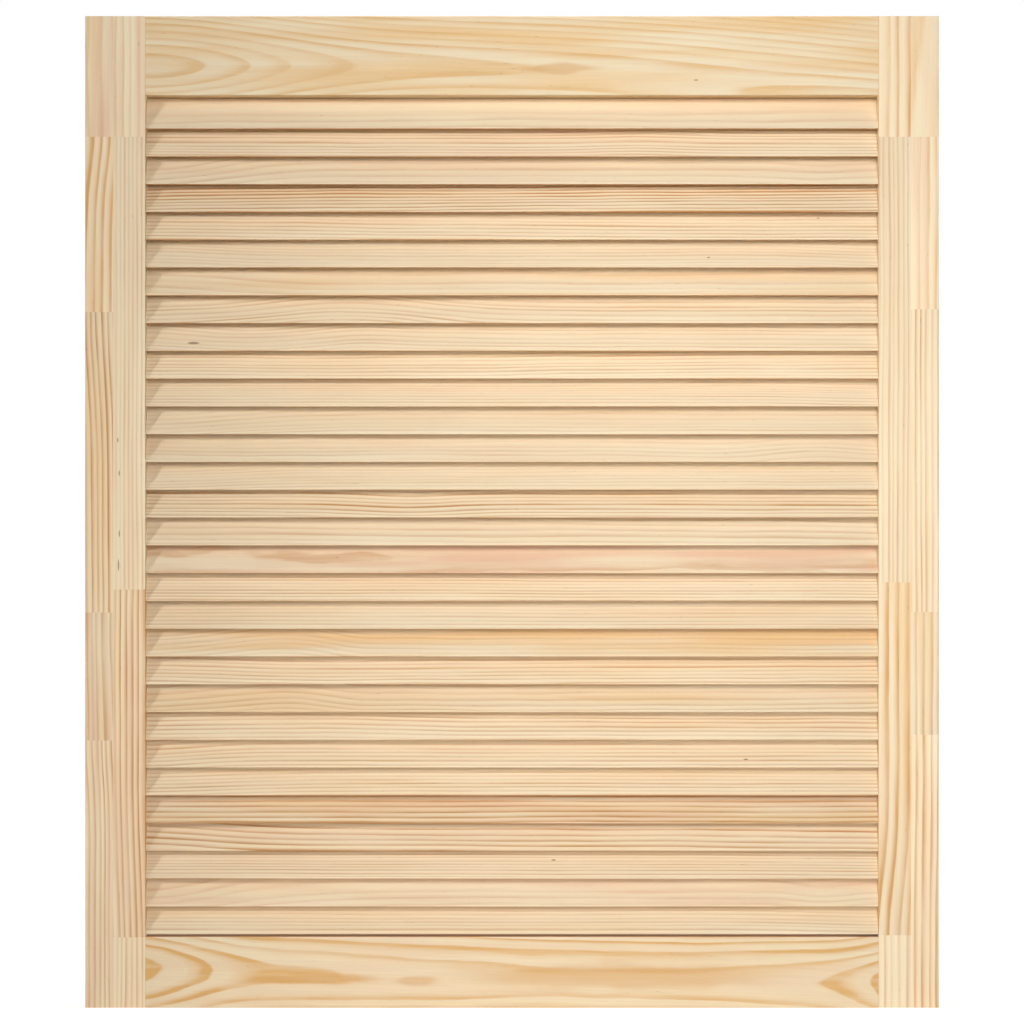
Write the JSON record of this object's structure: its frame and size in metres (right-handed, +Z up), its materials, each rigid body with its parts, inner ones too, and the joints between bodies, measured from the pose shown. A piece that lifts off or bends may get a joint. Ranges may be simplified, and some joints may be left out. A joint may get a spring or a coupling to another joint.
{
  "type": "louvred door",
  "caption": "Bare pine louvred door leaf: stiles and rails frame a stack of fixed, tilted slats housed in the stiles, to close and air a cabinet or wardrobe.",
  "frame": {"origin": "on the outer edge face of the left stile (the hinge edge), at the bottom of the door and in the middle of its thickness", "axes": "+X across the door to the right as seen from the front, +Y from the front to the back, +Z up"},
  "size_m": [0.594, 0.021, 0.69],
  "materials": {
    "stile_pine": "bare, planed, finger-jointed",
    "rail_pine": "bare, planed",
    "slat_pine": "bare, planed"
  },
  "bodies": {
    "root": {"left_stile_outer_strip": "stile_pine", "left_stile_inner_strip": "stile_pine", "right_stile_inner_strip": "stile_pine", "right_stile_outer_strip": "stile_pine", "top_rail": "rail_pine", "bottom_rail": "rail_pine", "slat_01": "slat_pine", "slat_02": "slat_pine", "slat_03": "slat_pine", "slat_04": "slat_pine", "slat_05": "slat_pine", "slat_06": "slat_pine", "slat_07": "slat_pine", "slat_08": "slat_pine", "slat_09": "slat_pine", "slat_10": "slat_pine", "slat_11": "slat_pine", "slat_12": "slat_pine", "slat_13": "slat_pine", "slat_14": "slat_pine", "slat_15": "slat_pine", "slat_16": "slat_pine", "slat_17": "slat_pine", "slat_18": "slat_pine", "slat_19": "slat_pine", "slat_20": "slat_pine", "slat_21": "slat_pine", "slat_22": "slat_pine", "slat_23": "slat_pine", "slat_24": "slat_pine", "slat_25": "slat_pine", "slat_26": "slat_pine", "slat_27": "slat_pine", "slat_28": "slat_pine", "slat_29": "slat_pine", "slat_30": "slat_pine"}
  },
  "joints": []
}
